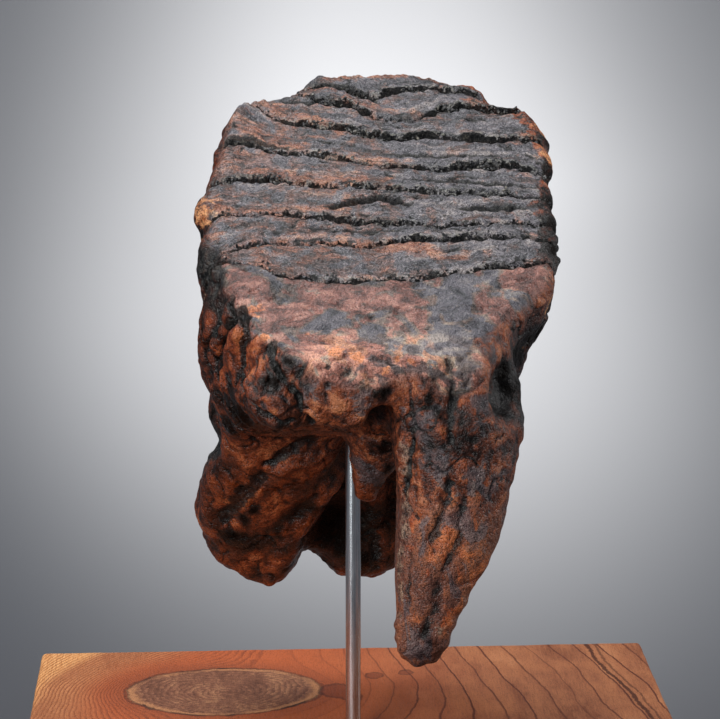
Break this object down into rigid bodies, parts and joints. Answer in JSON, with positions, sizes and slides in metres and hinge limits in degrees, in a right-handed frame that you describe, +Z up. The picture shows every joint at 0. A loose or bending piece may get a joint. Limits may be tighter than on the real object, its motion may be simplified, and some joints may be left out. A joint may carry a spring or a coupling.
{
  "type": "fossil mammoth tooth on a stand",
  "caption": "Fossil mammoth molar with a ridged, sloping grinding surface and thick roots, held up by a steel rod in a rectangular wooden block.",
  "frame": {"origin": "middle of the block's underside", "axes": "+Z up along the rod; +Y along the tooth, from its low worn front to its tall back; +X across the tooth, to the viewer's right when its front faces the viewer"},
  "size_m": [0.175, 0.1307, 0.2087],
  "materials": {
    "fossil_tooth": "mineralised enamel, dentine and cement: slate grey plates with orange-brown cement between them, dark red-brown folds and roots, with a soft waxy shine",
    "rod_steel": "drawn steel bar, fine lengthwise grain",
    "block_wood": "oiled reddish-brown wood with a large oval knot, flowing growth rings and a paler left edge"
  },
  "bodies": {
    "root": {"tooth": "fossil_tooth", "rod": "rod_steel", "block": "block_wood"}
  },
  "joints": []
}
